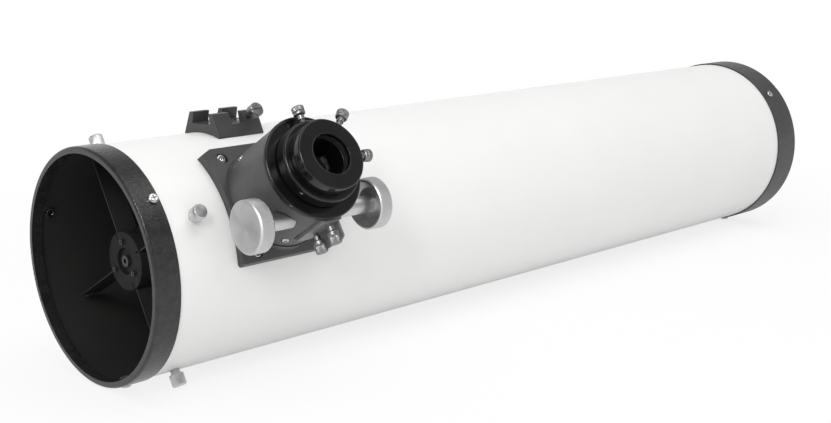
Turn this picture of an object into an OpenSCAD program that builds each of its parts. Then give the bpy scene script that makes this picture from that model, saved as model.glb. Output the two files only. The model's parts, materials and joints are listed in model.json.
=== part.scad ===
// Newtonian optical tube of a Dobsonian telescope, lying on its side.
// +X runs along the tube from the open front end to the mirror end, +Z is up.
// The origin is on the optical axis, in the middle of the bare tube where a cradle closes round it.
// Angles round the tube are measured from straight up towards the focuser's side (-Y).

/* [Tube] */
// Length over both end rings
tube_len = 865.6; // [780:0.1:1200]
// Outer diameter of the tube
tube_d = 182.4; // [176:0.1:190]
// Wall of the tube
tube_wall = 1; // [0.6:0.1:1.5]
// Distance from the front end to the origin
seat_s = 500; // [450:1:520]
// Clearance between pieces that are screwed together
joint_gap = 0.1; // [0.05:0.01:0.2]
// Clearance between a moving piece and its neighbour
run_gap = 0.3; // [0.2:0.05:0.5]
// Radial clearance of a turning pin
pin_gap = 0.05; // [0.02:0.01:0.09]

/* [End rings] */
// How far the end rings stand out from the tube
ring_proud = 1.4; // [1:0.1:3]
// Width of the front ring
front_ring_w = 20.9; // [18:0.1:30]
// Width of the rear ring
rear_ring_w = 37; // [30:0.1:50]
// Wall of the rings' end faces
ring_web = 1.8; // [1.2:0.1:3]
// Radius on the rings' outer edges
ring_round = 2.2; // [1:0.1:2.3]
// Diameter of the front opening
front_open_d = 175; // [160:0.5:176]
// How far the front ring's inner lip reaches into the tube
lip_len = 9; // [4:0.5:10]
// Wall of the inner lip
lip_wall = 1.3; // [0.8:0.1:1.8]
// Diameter of the rear ring's opening
rear_open_d = 168; // [150:0.5:170]
// Distance of the front ring's screws from the front end
front_screw_s = 15.4; // [13:0.1:18]
// Distance of the rear ring's screws from the rear end
rear_screw_s = 25.6; // [20:0.1:28]
// Angle of the first ring screw
ring_screw_angle = 48; // [45:1:52]
// Number of screws in each ring
ring_screws_n = 3; // [3:1:3]

/* [Screws] */
// Diameter of the machine screws' threads
screw_d = 4; // [3:0.1:4.5]
// Diameter of the machine screws' pan heads
screw_head_d = 8; // [7:0.1:9]
// Height of the pan heads
screw_head_h = 2.6; // [2:0.1:3]
// Size across the flats of the nuts
nut_af = 7; // [6:0.1:8]
// Height of the nuts
nut_h = 3.2; // [2:0.1:4]

/* [Spider] */
// Distance of the vanes' studs from the front end
vane_s = 42; // [40:0.5:50]
// Angle from the focuser to the nearest vane
vane_turn = 1.4; // [0:0.1:2]
// Width of a vane along the tube
vane_w = 18; // [14:0.5:20]
// Thickness of a vane
vane_t = 1; // [0.6:0.1:1.6]
// Number of vanes
vane_n = 4; // [4:1:4]
// Diameter of the hub
hub_d = 46.6; // [44:0.1:50]
// Length of the hub
hub_len = 21; // [20.5:0.5:24]
// Depth of the vanes' slots in the hub
vane_slot = 5; // [3:0.5:6]
// Distance of the vane screws from the axis
hub_screw_r = 20; // [19.5:0.1:20.5]
// Diameter of the studs at the vanes' outer ends
stud_d = 5; // [4:0.1:6]
// Diameter of a vane knob
vane_knob_d = 11.2; // [10:0.1:13]
// Length of a vane knob's grip
vane_knob_len = 9.5; // [8:0.1:12]
// Diameter of a vane knob's neck
vane_neck_d = 7.4; // [7:0.1:8]
// Length of a vane knob's neck
vane_neck_len = 3.5; // [3:0.1:5]

/* [Secondary mirror] */
// Short diameter of the flat mirror
flat_d = 42; // [38:0.5:46]
// Thickness of the flat mirror
flat_t = 6; // [4:0.5:8]
// Gap between the hub and the mirror holder
holder_gap = 6; // [5:0.5:8]
// Radius of the circle of adjusting screws
aim_screw_r = 15.4; // [14:0.1:15.6]
// Angle of the first adjusting screw
aim_screw_angle = -4; // [-14:1:0]
// Diameter of the adjusting screws
aim_screw_d = 4; // [3:0.1:5]
// Diameter of the recess in the hub's face
hub_recess_d = 21; // [18:0.5:22]
// Depth of the recess in the hub's face
hub_recess = 3; // [2:0.5:5]
// Diameter of the centre bolt
centre_bolt_d = 5; // [4:0.1:6]

/* [Focuser base] */
// Distance of the focuser's axis from the front end
focus_s = 114.8; // [112:0.1:125]
// Angle of the focuser round the tube
focus_angle = 58.1; // [56:0.1:61]
// Reach of the base from the focuser's axis towards the front end
base_front = 43; // [42.5:0.5:46]
// Reach of the base towards the mirror end
base_rear = 53; // [50:0.5:60]
// Reach of the base upwards
base_up = 50.2; // [50:0.1:53]
// Reach of the base downwards
base_down = 44.4; // [43:0.1:50]
// Thickness of the base
base_t = 6.3; // [5:0.1:8]
// Length of the base's cut corners along the tube
base_cut_len = 10.5; // [6:0.5:11]
// Width of the base's cut corners
base_cut_w = 5; // [3:0.5:6]
// Radius of the base's lower front corner
base_round = 3; // [2:0.5:5]
// Distance of the base's screws from its front and rear edges
base_screw_x = 15.5; // [15:0.5:17]
// Distance of the upper screws from the base's upper edge
base_screw_up = 10.5; // [10:0.1:11]
// Distance of the lower screws from the base's lower edge
base_screw_down = 7; // [6.8:0.1:7.5]
// Diameter of the round boss under the body
boss_d = 83; // [82:0.5:85]
// Height of the boss above the base's highest line
boss_rise = 0.3; // [0.2:0.1:1]
// Outer diameter of the collar that carries the body
spigot_d = 72; // [68:0.5:74]
// Height of that collar's end above the tube's axis
spigot_h = 112; // [110:0.5:114]

/* [Focuser body] */
// Outer diameter of the focuser's body
body_d = 81.2; // [80:0.1:86]
// Inner diameter of the focuser's body
body_bore_d = 63; // [61.5:0.1:64]
// Height of the body's end above the tube's axis
body_h = 148.6; // [147.5:0.1:150]
// Height of the body's side screws above the tube's axis
body_screw_h = 107.4; // [106:0.1:109]
// Angle of the body's first side screw
body_screw_angle = 110; // [108:1:114]
// Diameter of the top ring
top_ring_d = 82; // [81.4:0.1:84]
// Thickness of the top ring
top_ring_t = 3.9; // [3.6:0.1:5]
// Angle of the top ring's first set screw
top_screw_angle = 141; // [138:1:144]
// Diameter of the set screws
grub_d = 3; // [2.5:0.1:3.5]

/* [Drawtube] */
// Outer diameter of the drawtube
draw_d = 58; // [57:0.1:59]
// Inner diameter of the drawtube and its eyepiece collar
draw_bore_d = 50.9; // [50.8:0.05:51.4]
// Height of the drawtube's inner end above the tube's axis
draw_low = 91; // [89:0.5:95]
// Travel of the drawtube
draw_travel = 34; // [20:1:35]
// Outer diameter of the eyepiece collar
collar_d = 64.8; // [64:0.1:70]
// Height of the eyepiece collar
collar_t = 10.8; // [10.5:0.1:13]
// Angle of the eyepiece collar's thumbscrew
collar_screw_angle = -91; // [-95:1:-87]
// Angle of the eyepiece collar's set screw
collar_grub_angle = 142; // [138:1:146]

/* [Rollers and focus axle] */
// Diameter of the ball-bearing rollers
roller_d = 10; // [9:0.1:10.5]
// Width of the rollers
roller_w = 4; // [3:0.1:5]
// Diameter of the rollers' pins
roller_pin_d = 4.4; // [3:0.1:5]
// Half the angle between the two rows of rollers
roller_angle = 40; // [35:1:50]
// Heights of the lower rollers above the tube's axis
roller_low = 126.5; // [126:0.1:128]
// Heights of the upper rollers above the tube's axis
roller_high = 139.2; // [138.8:0.1:139.5]
// Height of the focus axle above the tube's axis
axle_h = 133; // [132:0.1:135]
// Diameter of the axle where it drives the drawtube
axle_d = 5; // [4.5:0.1:5.4]
// Diameter of the axle in its bushes
axle_end_d = 7; // [6:0.1:7.5]
// Distance of the axle's middle from the focuser's axis, along the tube
axle_shift = -0.8; // [-1:0.1:1]
// Length over the two focus knobs
knob_span = 124.6; // [118:0.1:135]
// Diameter of the focus knobs
knob_d = 39.8; // [36:0.1:44]
// Thickness of the focus knobs
knob_t = 12.4; // [9:0.1:13]
// Diameter of a focus knob's hub
knob_hub_d = 13.2; // [12:0.1:15]
// Depth of the dish in a focus knob's inner face
knob_dish = 6; // [3:0.5:7]
// Width of the axle block
block_w = 18; // [16:0.5:19]
// Distance of the axle block's middle from the focuser's axis, along the tube
block_mid = 0.9; // [0:0.1:1.5]
// Gap beside the axle block
block_gap = 2.5; // [1:0.5:3]
// Distance of the axle block's outer face from the focuser's axis
block_out = 42.4; // [42:0.1:44]
// Length of the axle block along the focuser's axis
block_len = 36.3; // [35:0.1:36.4]
// Thickness of the plate that stands beside the block's screws
guard_t = 1.8; // [1.5:0.1:2.5]
// Length of that plate along the focuser's axis
guard_len = 27; // [24:0.5:29]
// Distance of that plate's outer edge from the focuser's axis
guard_out = 55; // [50:0.5:56]
// Diameter of the bushes
bush_d = 10; // [9.5:0.1:11]
// Length of a bush
bush_len = 6; // [5:0.5:7]

/* [Eyepiece adapter] */
// Outer diameter of the adapter's flange
adapter_d = 55.6; // [54:0.1:60]
// Thickness of the adapter's flange
adapter_t = 12; // [10:0.1:14]
// Diameter of the adapter's barrel
barrel_d = 50.7; // [50.5:0.05:50.75]
// Length of the adapter's barrel
barrel_len = 26; // [18:0.5:28]
// Diameter of the eyepiece socket
socket_d = 31.9; // [31.8:0.05:32.2]
// Depth of the eyepiece socket
socket_len = 26; // [22:0.5:32]
// Angle of the adapter's first thumbscrew
adapter_screw_a = -47; // [-52:1:-42]
// Angle of the adapter's second thumbscrew
adapter_screw_b = 6; // [2:1:10]
// How far the first thumbscrew is backed out
adapter_out_a = 6; // [1:0.5:7]
// How far the second thumbscrew is backed out
adapter_out_b = 0.5; // [0.5:0.5:3]

/* [Thumbscrews] */
// Diameter of a thumbscrew's head
thumb_d = 9.6; // [8:0.1:10.5]
// Length of a thumbscrew's head
thumb_len = 7; // [5:0.1:9]
// Diameter of a thumbscrew's thread
thumb_thread_d = 4; // [3:0.1:4.5]
// Diameter of a thumbscrew's shoulder
thumb_neck_d = 5.6; // [5:0.1:6]
// Diameter of the lock screws' heads on the axle block
tension_d = 9.3; // [8:0.1:11]
// Length of the lock screws' heads on the axle block
tension_len = 10.2; // [8:0.1:12]
// Bare length of those screws between the block and their heads
tension_bare = 5.4; // [5:0.1:6]
// Diameter of those screws' threads
tension_thread_d = 3.5; // [3:0.1:3.6]
// Distance of the tension screw below the axle
tension_dz = 8; // [7.6:0.1:8.4]
// Distance of the lock screw above the axle
lock_dz = 10.8; // [10:0.1:12]

/* [Finder shoe] */
// Angle from the focuser to the finder shoe
shoe_back_angle = 59.6; // [58:0.1:66]
// Distance of the shoe's front face from the front end
shoe_s = 108; // [100:0.5:112]
// Length of the shoe
shoe_len = 43.5; // [40:0.5:50]
// Width of the shoe's foot
shoe_foot_w = 47; // [44:0.5:50]
// Width over the shoe's two walls at their tops
shoe_top_w = 31; // [29:0.5:34]
// Width of the groove at the top
groove_top_w = 21; // [18:0.5:22]
// Width of the groove at its floor
groove_low_w = 25; // [24:0.5:26]
// Height of the groove's floor above the tube
shoe_floor = 6.8; // [6:0.1:8]
// Height of the walls above the groove's floor
shoe_wall_h = 9; // [8:0.1:12]
// Width of the gap in the middle of each wall
shoe_notch = 12.7; // [4:0.1:14]
// Distance of that gap's middle behind the shoe's middle
shoe_notch_x = 0.15; // [-2:0.05:1]
// Distance of the shoe's thumbscrew behind the shoe's middle
shoe_thumb_x = 11.5; // [11:0.5:13]
// Tilt of the shoe's thumbscrew
shoe_screw_tilt = 28; // [24:1:32]
// Diameter of the shoe's thumbscrew head
shoe_thumb_d = 11.6; // [10:0.1:13]
// Length of the shoe's thumbscrew head
shoe_thumb_len = 8; // [6:0.1:10]
// Spacing of the shoe's screws
shoe_screw_dx = 28; // [24:0.5:30]

/* [Mirror cell] */
// Diameter of the main mirror
mirror_d = 150; // [146:0.5:154]
// Thickness of the main mirror
mirror_t = 22; // [18:0.5:24]
// Focal length of the main mirror
mirror_f = 900; // [750:10:1200]
// Thickness of the cork pads under the mirror
pad_t = 1.5; // [1:0.1:3]
// Diameter of the cork pads
pad_d = 16; // [12:0.5:18]
// Diameter of the plate that carries the mirror
cell_d = 162; // [160:0.5:166]
// Thickness of that plate
cell_t = 5; // [4:0.1:6]
// Diameter of the air holes in that plate
cell_hole_d = 42; // [36:0.5:42]
// Distance of those air holes' middles from the axis
cell_hole_r = 44; // [42:0.5:46]
// Length of the springs between the plates
spring_len = 10; // [8:0.1:12]
// Outer diameter of the springs
spring_d = 11; // [9:0.1:13]
// Thickness of the back plate
back_t = 5; // [4:0.1:6]
// Diameter of the air holes in the back plate
back_hole_d = 46; // [40:0.5:47]
// Distance of those air holes' middles from the axis
back_hole_r = 50; // [49:0.5:52]
// Wall of the back plate's rim
rim_wall = 4; // [3:0.1:5]
// Length of the back plate's rim
rim_len = 32; // [30:0.5:36]
// Radius of the circle of collimating bolts
bolt_r = 62; // [60:0.5:64]
// Angle of the first collimating bolt
bolt_angle = 50; // [48:1:52]
// Diameter of the collimating bolts
bolt_d = 5; // [4:0.1:5.5]
// Side play of the collimating bolts in the back plate and knobs
bolt_play = 0.5; // [0.4:0.05:0.8]
// Diameter of the collimating knobs
col_knob_d = 20; // [18:0.1:22]
// Thickness of the collimating knobs
col_knob_t = 11; // [8:0.1:14]
// Angle from a collimating bolt to its lock screw
lock_angle = 24; // [23:1:26]
// Gap between a lock screw's tip and the mirror plate
lock_back_off = 1.2; // [1:0.1:1.5]
// Diameter of the lock screws' threads
lock_d = 5; // [4:0.1:6]
// Diameter of the lock screws' heads
lock_head_d = 12; // [10:0.1:14]
// Width of a mirror clip
clip_w = 14; // [12:0.5:18]
// Thickness of a mirror clip
clip_t = 3; // [2:0.1:3.5]
// How far a clip reaches over the mirror's edge
clip_reach = 4; // [2:0.5:6]

/* [Hidden] */

$fn = 72;
fine = 180;
deep = 400;
little = 0.01;

tube_r = tube_d / 2;
tube_in = tube_r - tube_wall;
ring_r = tube_r + ring_proud;
ring_in = tube_r + joint_gap;
front_in = ring_web + joint_gap;
rear_in = tube_len - ring_web - joint_gap;
nut_corner = nut_af / 2 / cos(30);
nut_seat = sqrt(tube_in * tube_in - nut_corner * nut_corner) - joint_gap;

hub_front = vane_s - hub_len / 2;
hub_back = vane_s + hub_len / 2;
holder_front = hub_back + holder_gap;
holder_d = flat_d - 1;
vane_in = hub_d / 2 - vane_slot;
hub_screw_d = 3;
hub_screw_head = 4.8;
hub_screw_seat = 6.2;
hub_screw_tip = 7;
knob_seat = tube_r + joint_gap;
vane_knob_end = knob_seat + vane_neck_len + vane_knob_len;

base_r = tube_r + base_t;
base_sink = 4.2;
base_screw_xs = [base_screw_x - base_front, base_rear - base_screw_x];
base_screw_ys = [base_screw_down - base_down, base_up - base_screw_up];
boss_h = base_r + boss_rise;
top_ring_h = body_h + top_ring_t;
top_screw_d = 2.4;
top_screw_len = 5.2;
collar_low = top_ring_h + 1;
collar_h = collar_low + collar_t;
collar_lap = 2.5;
adapter_h = collar_h + adapter_t;
adapter_wide_d = 44;
roller_r = draw_d / 2 + joint_gap + roller_d / 2;
roller_pin_len = roller_w + 6;
draw_flat = draw_d / 2 - 1.8;
axle_y = draw_flat + pin_gap + axle_d / 2;
axle_thin = block_w + 8.6;
collar_screw_h = collar_low + collar_t / 2 + 0.6;
adapter_screw_h = collar_h + adapter_t / 2;
clamp_w = 4.6;
clamp_t = 1.2;
collar_set_tip = draw_bore_d / 2 + clamp_t + 2 * joint_gap;

shoe_angle = focus_angle - shoe_back_angle;
shoe_top = tube_r + shoe_floor + shoe_wall_h;
shoe_groove = tube_r + shoe_floor;
shoe_seat = shoe_groove - 1.5;
shoe_mid = shoe_len / 2;
foot_edge = 1.5;

back_s = rear_in - joint_gap;
back_front = back_s - back_t;
cell_back_s = back_front - spring_len;
cell_front = cell_back_s - cell_t;
mirror_back = cell_front - pad_t;
mirror_front = mirror_back - mirror_t;
mirror_edge_r = mirror_d / 2;
rim_r = tube_in - joint_gap;
rim_front = back_s - rim_len;
clip_r = mirror_edge_r + run_gap;
clip_front = mirror_front - run_gap;
knob_face = tube_len + joint_gap;
knob_bore_end = knob_face + col_knob_t - 2;
bolt_end = knob_bore_end - 1.5;
hole_turn = 60;
middle_hole_d = 24;
back_middle_d = 30;

// Children in the tube's frame, with X counted from the front end
module from_front(s) {
    translate([s - seat_s, 0, 0]) children();
}

// Children standing on the tube: local +Z is outward at this angle, local +X is along the tube
module on_tube(s, angle) {
    from_front(s) rotate([angle, 0, 0]) children();
}

// Children whose local +Z runs along the tube
module along_tube(s) {
    from_front(s) rotate([0, 90, 0]) children();
}

// Children whose local +Z is parallel to the tube, at an angle and distance from its axis
module beside_axis(s, angle, r) {
    on_tube(s, angle) translate([0, 0, r]) rotate([0, 90, 0]) children();
}

// Children whose local +Z leaves the focuser's axis sideways, at an angle from the tube's +X
module from_focus_axis(h, angle) {
    on_tube(focus_s, focus_angle) translate([0, 0, h]) rotate([0, 0, -angle]) rotate([0, 90, 0]) children();
}

// Children on the focuser's own axis
module on_focuser(h = 0) {
    on_tube(focus_s, focus_angle) translate([0, 0, h]) children();
}

// Half section of a ring from r0 to r1 and z0 to z1, with rounded outer edges
module ring_section(r0, r1, z0, z1, low_round = 0, high_round = 0) {
    translate([r0, z0 + low_round]) square([r1 - r0, z1 - z0 - low_round - high_round]);
    if (low_round > 0) {
        translate([r0, z0]) square([r1 - r0 - low_round, low_round + little]);
        translate([r1 - low_round, z0 + low_round]) circle(low_round);
    }
    if (high_round > 0) {
        translate([r0, z1 - high_round - little]) square([r1 - r0 - high_round, high_round + little]);
        translate([r1 - high_round, z1 - high_round]) circle(high_round);
    }
}

// Half section of a solid knob or disc on z = 0, with bevelled edges
module bevel_section(r, len, low, high) {
    polygon([[0, 0], [r - low, 0], [r, low], [r, len - high], [r - high, len], [0, len]]);
}

// Plain pipe standing on z = 0
module pipe(r_out, r_in, len) {
    difference() {
        cylinder(r = r_out, h = len);
        translate([0, 0, -1]) cylinder(r = r_in, h = len + 2);
    }
}

// Screw with a domed head on z = 0 and its thread below, with a cross recess
module pan_screw(d, head_d, head_h, len) {
    difference() {
        union() {
            translate([0, 0, -len]) cylinder(d = d, h = len + little);
            rotate_extrude() ring_section(0, head_d / 2, 0, head_h, 0, head_h / 2);
        }
        for (turn = [0, 90])
            rotate([0, 0, turn]) translate([-head_d * 0.28, -head_d * 0.06, head_h * 0.45])
                cube([head_d * 0.56, head_d * 0.12, head_h]);
    }
}

// Set screw with its face on z = 0 and a hexagonal socket
module set_screw(d, len) {
    difference() {
        translate([0, 0, -len]) cylinder(d = d, h = len);
        translate([0, 0, -len * 0.4]) cylinder(d = d * 0.55, h = len, $fn = 6);
    }
}

// Thumbscrew whose thread starts at z = 0 and whose head ends at z = reach
module thumbscrew(reach, head_d, head_len, thread_d, neck_d, neck_from) {
    head_from = reach - head_len;
    cylinder(d = thread_d, h = head_from + little);
    translate([0, 0, neck_from]) cylinder(d = neck_d, h = head_from - neck_from + little);
    translate([0, 0, head_from]) rotate_extrude() bevel_section(head_d / 2, head_len, 0.5, 0.8);
}

/* ---------- Tube and end rings ---------- */

module tube() {
    color("white") difference() {
        along_tube(front_in) cylinder(r = tube_r, h = rear_in - front_in, $fn = fine);
        along_tube(front_in - 1) cylinder(r = tube_in, h = rear_in - front_in + 2, $fn = fine);
        at_ring_screws() cylinder(d = screw_d + 2 * joint_gap, h = deep / 2);
        at_base_screws() cylinder(d = screw_d + 2 * joint_gap, h = deep / 2);
        at_shoe_screws() cylinder(d = screw_d + 2 * joint_gap, h = deep / 2);
        for (k = [0 : vane_n - 1])
            on_tube(vane_s, vane_angle(k)) cylinder(d = stud_d + 2 * joint_gap, h = deep / 2);
        on_focuser() cylinder(d = body_bore_d, h = deep / 2);
    }
}

function vane_angle(k) = focus_angle + vane_turn + k * 360 / vane_n;

// Children at each ring screw, with z = 0 on the tube's axis; which = 0 is the front ring, 1 the rear ring
module at_ring_screws(which = [0, 1]) {
    for (end = which)
        for (k = [0 : ring_screws_n - 1])
            on_tube(end == 0 ? front_screw_s : tube_len - rear_screw_s, ring_screw_angle + k * 120)
                children();
}

// Children at the screws that hold the focuser's base, with z = 0 on the tube's axis
module at_base_screws() {
    for (x = base_screw_xs, y = base_screw_ys)
        on_focuser() translate([x, y, 0]) children();
}

// Children at the finder shoe's screws, with z = 0 on the tube's axis
module at_shoe_screws() {
    for (side = [-1, 1])
        on_tube(shoe_s + shoe_mid + side * shoe_screw_dx / 2, shoe_angle) children();
}

// Height of the base's screw seats, and of their nuts, at a distance y across the tube
function base_seat(y) = sqrt(base_r * base_r - y * y) - base_sink;
function base_nut(y) = sqrt(tube_in * tube_in - pow(abs(y) + nut_corner, 2)) - joint_gap;

module front_ring() {
    color("dimgray") difference() {
        along_tube(0) rotate_extrude($fn = fine) {
            ring_section(ring_in, ring_r, 0, front_ring_w, 0, 0.5);
            ring_section(front_open_d / 2, ring_r, 0, ring_web, 0, 0);
            ring_section(front_open_d / 2, front_open_d / 2 + lip_wall, 0, lip_len, 0, 0);
        }
        along_tube(0) rotate_extrude($fn = fine) ring_edge();
        at_ring_screws([0]) cylinder(d = screw_d + 2 * joint_gap, h = deep / 2);
    }
}

// What is cut away to round a ring's outer edge
module ring_edge() {
    difference() {
        translate([ring_r - ring_round, -1]) square([ring_round + 1, ring_round + 1]);
        translate([ring_r - ring_round, ring_round]) circle(ring_round);
    }
}

module rear_ring() {
    color("gray") difference() {
        along_tube(tube_len) mirror([0, 0, 1]) difference() {
            rotate_extrude($fn = fine) {
                ring_section(ring_in, ring_r, 0, rear_ring_w, 0, 0.5);
                ring_section(rear_open_d / 2, ring_r, 0, ring_web, 0, 0);
            }
            rotate_extrude($fn = fine) ring_edge();
        }
        at_ring_screws([1]) cylinder(d = screw_d + 2 * joint_gap, h = deep / 2);
    }
}

module ring_screws() {
    thread = ring_r - tube_in + nut_h;
    color("silver") at_ring_screws() translate([0, 0, ring_r])
        pan_screw(screw_d, screw_head_d, screw_head_h, thread);
}

// Screws through the tube for the focuser's base and the finder shoe
module mounting_screws() {
    color("silver") {
        for (x = base_screw_xs, y = base_screw_ys)
            on_focuser(base_seat(y)) translate([x, y, 0])
                pan_screw(screw_d, screw_head_d, screw_head_h, base_seat(y) - base_nut(y) + nut_h);
        at_shoe_screws() translate([0, 0, shoe_seat])
            pan_screw(screw_d, screw_head_d, 1.4, shoe_seat - nut_seat + nut_h);
    }
}

// Nut on a thread along z, with its outer face on z = 0
module nut() {
    translate([0, 0, -nut_h]) difference() {
        cylinder(r = nut_corner, h = nut_h, $fn = 6);
        translate([0, 0, -1]) cylinder(d = screw_d, h = nut_h + 2);
    }
}

module tube_nuts() {
    color("silver") {
        at_ring_screws([0]) translate([0, 0, nut_seat]) nut();
        for (x = base_screw_xs, y = base_screw_ys)
            on_focuser(base_nut(y)) translate([x, y, 0]) nut();
        at_shoe_screws() translate([0, 0, nut_seat]) nut();
    }
}

/* ---------- Spider and secondary mirror ---------- */

module spider_hub() {
    color([0.12, 0.12, 0.12]) difference() {
        along_tube(hub_front) rotate_extrude()
            ring_section(0, hub_d / 2, 0, hub_back - hub_front, 0.8, 0.8);
        along_tube(hub_front - 1) cylinder(d = hub_recess_d, h = hub_recess + 1);
        along_tube(hub_front - 1) cylinder(d = centre_bolt_d + 2 * run_gap, h = hub_back - hub_front + 2);
        for (k = [0 : 2])
            beside_axis(hub_front - 1, aim_screw_angle + 120 * k, aim_screw_r)
                cylinder(d = aim_screw_d, h = hub_back - hub_front + 2);
        for (k = [0 : vane_n - 1]) {
            on_tube(hub_front - 1, vane_angle(k))
                translate([0, -vane_t / 2 - joint_gap, vane_in - joint_gap])
                    cube([hub_back - hub_front + 2, vane_t + 2 * joint_gap, hub_d]);
            hub_screw_place(k) translate([0, 0, -hub_screw_tip]) {
                cylinder(d = hub_screw_d, h = deep);
                translate([0, 0, hub_screw_tip + hub_screw_seat])
                    cylinder(d = hub_screw_head + 1, h = hub_d);
            }
        }
    }
}

module hub_screw_place(k) {
    on_tube(vane_s, vane_angle(k)) translate([0, 0, hub_screw_r]) rotate([90, 0, 0]) children();
}

// Screws across the hub that hold the vanes in their slots
module hub_screws() {
    color("silver") for (k = [0 : vane_n - 1])
        hub_screw_place(k) translate([0, 0, hub_screw_seat])
            pan_screw(hub_screw_d, hub_screw_head, 1.8, hub_screw_seat + hub_screw_tip);
}

// Blades with a hole for the hub's screw and a threaded stud at the outer end
module spider_vanes() {
    blade_out = tube_in - 4;
    color([0.1, 0.1, 0.1]) for (k = [0 : vane_n - 1])
        difference() {
            on_tube(vane_s, vane_angle(k)) {
                translate([-vane_w / 2, -vane_t / 2, vane_in]) cube([vane_w, vane_t, blade_out - vane_in]);
                translate([0, 0, blade_out - 7]) cylinder(d = stud_d, h = vane_knob_end - 2 - blade_out + 7);
            }
            hub_screw_place(k) cylinder(d = hub_screw_d, h = vane_w, center = true);
        }
}

// Knurled nut that tightens a vane's stud from outside the tube
module vane_knob(k) {
    color("gainsboro") on_tube(vane_s, vane_angle(k)) difference() {
        union() {
            translate([0, 0, knob_seat]) cylinder(d = vane_neck_d, h = vane_neck_len + little);
            translate([0, 0, knob_seat + vane_neck_len]) rotate_extrude()
                bevel_section(vane_knob_d / 2, vane_knob_len, 0.5, 0.5);
        }
        translate([0, 0, knob_seat - 1])
            cylinder(d = stud_d + 2 * pin_gap, h = vane_knob_end - 2 - knob_seat + 1 + run_gap);
    }
}

module secondary_bolt() {
    head_floor = hub_front + hub_recess - 0.1;
    color("silver") difference() {
        union() {
            along_tube(head_floor - 3) cylinder(d = 9, h = 3);
            along_tube(head_floor - little) cylinder(d = centre_bolt_d, h = holder_front + 14 - head_floor);
        }
        along_tube(head_floor - 4) cylinder(d = 4.6, h = 3, $fn = 6);
    }
}

module secondary_screws() {
    reach = holder_front - run_gap - hub_front + 2.5;
    color("silver") for (k = [0 : 2])
        beside_axis(hub_front - 2.5, aim_screw_angle + 120 * k, aim_screw_r) difference() {
            cylinder(d = aim_screw_d, h = reach);
            translate([0, 0, -1]) cylinder(d = aim_screw_d * 0.55, h = 3, $fn = 6);
        }
}

// Slab whose top face is the flat mirror's plane, turned 45 degrees to face the focuser
module flat_slab(from, to) {
    on_focuser() rotate([0, 45, 0]) translate([-deep / 4, -deep / 4, from])
        cube([deep / 2, deep / 2, to - from]);
}

module secondary_holder() {
    color([0.1, 0.1, 0.1]) difference() {
        along_tube(holder_front) rotate_extrude()
            ring_section(0, holder_d / 2, 0, focus_s + flat_d - holder_front, 1, 0);
        flat_slab(-flat_t - joint_gap, deep / 2);
        along_tube(holder_front - 1) cylinder(d = centre_bolt_d + 2 * pin_gap, h = 16);
    }
}

module secondary_mirror() {
    color([0.8, 0.85, 0.9]) intersection() {
        along_tube(holder_front) cylinder(d = flat_d, h = 2 * (focus_s - holder_front));
        flat_slab(-flat_t, 0);
    }
}

/* ---------- Focuser ---------- */

// Outline of the focuser's base, seen along the focuser's axis: x along the tube, y upwards
module base_outline() {
    polygon([[-base_front, base_round - base_down], [base_round - base_front, -base_down],
        [base_rear - base_cut_len, -base_down], [base_rear, base_cut_w - base_down],
        [base_rear, base_up - base_cut_w], [base_rear - base_cut_len, base_up],
        [base_cut_len - base_front, base_up], [-base_front, base_up - base_cut_w]]);
    translate([base_round - base_front, base_round - base_down]) circle(base_round);
}

// Curved plate that follows the tube, with the collar that carries the body
module focuser_base() {
    color([0.36, 0.36, 0.35]) difference() {
        union() {
            intersection() {
                on_focuser(tube_r * 0.6) linear_extrude(tube_r) base_outline();
                along_tube(focus_s - deep / 4) cylinder(r = base_r, h = deep / 2, $fn = fine);
            }
            on_focuser(tube_r * 0.6) cylinder(d = boss_d, h = boss_h - tube_r * 0.6, $fn = fine);
            on_focuser(tube_r) cylinder(d = spigot_d, h = spigot_h - tube_r);
        }
        along_tube(focus_s - deep / 4) cylinder(r = tube_r + joint_gap, h = deep / 2, $fn = fine);
        on_focuser(tube_r * 0.5) cylinder(d = body_bore_d, h = deep);
        block_slot();
        at_base_screws() cylinder(d = screw_d + 2 * joint_gap, h = deep / 2);
        for (x = base_screw_xs, y = base_screw_ys)
            on_focuser(base_seat(y)) translate([x, y, 0]) cylinder(d = screw_head_d + 1.2, h = deep / 2);
        on_focuser() translate([3.5 - base_front, 0, 0]) cylinder(d = 2.4, h = deep / 2);
        at_body_screws() cylinder(d = grub_d, h = deep);
    }
}

module at_body_screws() {
    for (k = [0 : 2])
        from_focus_axis(body_screw_h, body_screw_angle + 120 * k)
            translate([0, 0, body_bore_d / 2 + 0.5]) children();
}

module focuser_body() {
    color([0.36, 0.36, 0.35]) difference() {
        on_focuser(boss_h + joint_gap) cylinder(d = body_d, h = body_h - boss_h - joint_gap, $fn = fine);
        on_focuser() cylinder(d = body_bore_d, h = deep);
        on_focuser() cylinder(d = spigot_d + 2 * joint_gap, h = spigot_h + joint_gap);
        at_body_screws() {
            cylinder(d = grub_d + 2 * joint_gap, h = deep);
            translate([0, 0, body_d / 2 - body_bore_d / 2 - 2]) cylinder(d = 7, h = deep);
        }
        roller_pockets();
        block_slot();
        axle_line() cylinder(d = axle_end_d + 4 * run_gap, h = deep, center = true);
        axle_line() bush_space(0);
        for (side = [0, 1])
            axle_line() mirror([0, 0, side]) translate([0, 0, bush_from + bush_len - little])
                cylinder(d = knob_hub_d + 3 * run_gap, h = deep / 4);
    }
}

// Side screws that hold the body on the base's collar
module body_screws() {
    under_head = body_d / 2 - body_bore_d / 2 - 2;
    color("silver") at_body_screws() translate([0, 0, under_head])
        pan_screw(grub_d, 6, 2.2, under_head - 0.5);
}

module top_ring() {
    color([0.13, 0.13, 0.13]) difference() {
        on_focuser(body_h) rotate_extrude($fn = fine)
            ring_section(draw_d / 2 + run_gap, top_ring_d / 2, 0, top_ring_t, 0.4, 1.2);
        at_top_screws() cylinder(d = top_screw_d, h = deep / 4);
    }
}

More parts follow.
